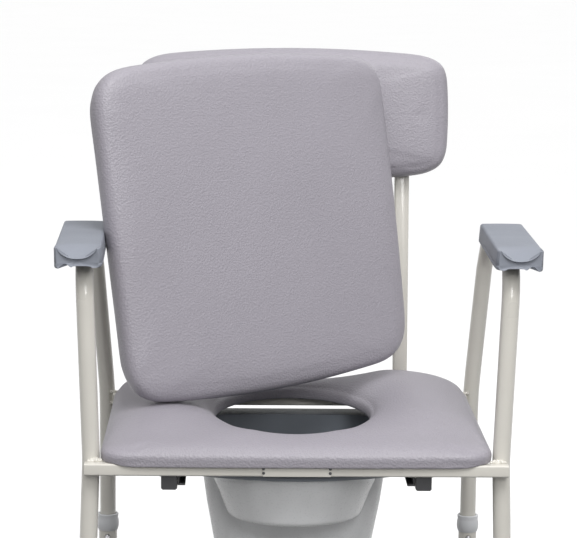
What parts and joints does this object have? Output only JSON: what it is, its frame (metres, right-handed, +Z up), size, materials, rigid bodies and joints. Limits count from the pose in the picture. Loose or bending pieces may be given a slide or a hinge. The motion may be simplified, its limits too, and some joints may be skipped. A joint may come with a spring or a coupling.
{
  "type": "commode chair",
  "caption": "Bedside commode chair with welded tube frame, adjustable legs, padded lift-off seat with aperture, loose infill cushion, lift-off padded backrest, armrests and slide-in pan.",
  "frame": {"origin": "centre of the footprint box on the floor", "axes": "+Z up, the front of the chair faces -Y, +X is to the right when looking at the front"},
  "size_m": [0.6166, 0.5048, 0.9303],
  "materials": {
    "frame_paint": "satin",
    "vinyl": "satin",
    "board": "matte",
    "arm_foam": "satin",
    "pan_plastic": "satin",
    "black_plastic": "satin",
    "grey_plastic": "satin",
    "rubber": "matte",
    "steel": "satin"
  },
  "bodies": {
    "frame": {"armrest_left": "arm_foam", "armrest_right": "arm_foam", "armrest_screw_front_left": "steel", "armrest_screw_front_right": "steel", "armrest_screw_rear_left": "steel", "armrest_screw_rear_right": "steel", "front_rail": "frame_paint", "pan_guide_left": "black_plastic", "pan_guide_right": "black_plastic", "pan_rail_left": "frame_paint", "pan_rail_right": "frame_paint", "post_socket_left": "frame_paint", "post_socket_right": "frame_paint", "rail_plug_front_left": "black_plastic", "rail_plug_front_right": "black_plastic", "rail_plug_rear_left": "black_plastic", "rail_plug_rear_right": "black_plastic", "rear_rail": "frame_paint", "side_frame_left": "frame_paint", "side_frame_right": "frame_paint"},
    "seat": {"seat_board": "board", "seat_cushion": "vinyl", "seat_front_clip": "frame_paint", "seat_block_front_left": "black_plastic", "seat_block_front_right": "black_plastic", "seat_block_rear_left": "black_plastic", "seat_block_rear_right": "black_plastic"},
    "infill": {"infill_board": "board", "infill_cushion": "vinyl"},
    "backrest": {"backrest_board": "board", "backrest_bolt_lower_left": "steel", "backrest_bolt_lower_right": "steel", "backrest_bolt_upper_left": "steel", "backrest_bolt_upper_right": "steel", "backrest_cushion": "vinyl", "backrest_post_left": "frame_paint", "backrest_post_right": "frame_paint"},
    "pan": {"pan": "pan_plastic"},
    "leg_front_left": {"leg_extension_front_left": "frame_paint", "collar_front_left": "grey_plastic", "foot_front_left": "rubber"},
    "button_front_left": {"snap_button_front_left": "steel"},
    "leg_front_right": {"leg_extension_front_right": "frame_paint", "collar_front_right": "grey_plastic", "foot_front_right": "rubber"},
    "button_front_right": {"snap_button_front_right": "steel"},
    "leg_rear_left": {"leg_extension_rear_left": "frame_paint", "collar_rear_left": "grey_plastic", "foot_rear_left": "rubber"},
    "button_rear_left": {"snap_button_rear_left": "steel"},
    "leg_rear_right": {"leg_extension_rear_right": "frame_paint", "collar_rear_right": "grey_plastic", "foot_rear_right": "rubber"},
    "button_rear_right": {"snap_button_rear_right": "steel"}
  },
  "joints": [
    {"name": "leg_slide_front_left", "type": "slide", "parent": "frame", "child": "leg_front_left", "axis": [0.034, 0, 0.9994], "range_m": [0, 0.1], "deforming": ["snap_button_front_left"]},
    {"name": "button_press_front_left", "type": "slide", "parent": "frame", "child": "button_front_left", "axis": [0, 1, 0], "range_m": [0, 0.0042], "stiffness_N_per_m": 1500, "springref_m": -0.003},
    {"name": "leg_slide_front_right", "type": "slide", "parent": "frame", "child": "leg_front_right", "axis": [-0.034, 0, 0.9994], "range_m": [0, 0.1], "deforming": ["snap_button_front_right"]},
    {"name": "button_press_front_right", "type": "slide", "parent": "frame", "child": "button_front_right", "axis": [0, 1, 0], "range_m": [0, 0.0042], "stiffness_N_per_m": 1500, "springref_m": -0.003},
    {"name": "leg_slide_rear_left", "type": "slide", "parent": "frame", "child": "leg_rear_left", "axis": [0, 0, 1], "range_m": [0, 0.1], "deforming": ["snap_button_rear_left"]},
    {"name": "button_press_rear_left", "type": "slide", "parent": "frame", "child": "button_rear_left", "axis": [0, 1, 0], "range_m": [0, 0.0042], "stiffness_N_per_m": 1500, "springref_m": -0.003},
    {"name": "leg_slide_rear_right", "type": "slide", "parent": "frame", "child": "leg_rear_right", "axis": [0, 0, 1], "range_m": [0, 0.1], "deforming": ["snap_button_rear_right"]},
    {"name": "button_press_rear_right", "type": "slide", "parent": "frame", "child": "button_rear_right", "axis": [0, 1, 0], "range_m": [0, 0.0042], "stiffness_N_per_m": 1500, "springref_m": -0.003},
    {"name": "pan_slide", "type": "slide", "parent": "frame", "child": "pan", "axis": [0, 1, 0], "range_m": [0, 0.42]},
    {"name": "seat_lift", "type": "slide", "parent": "frame", "child": "seat", "axis": [0, 0, 1], "range_m": [0, 0.15]},
    {"name": "infill_lift", "type": "slide", "parent": "seat", "child": "infill", "axis": [0, 0, 1], "range_m": [0, 0.3]},
    {"name": "backrest_lift", "type": "slide", "parent": "frame", "child": "backrest", "axis": [0, 0.0975, 0.9952], "range_m": [0, 0.08]}
  ]
}
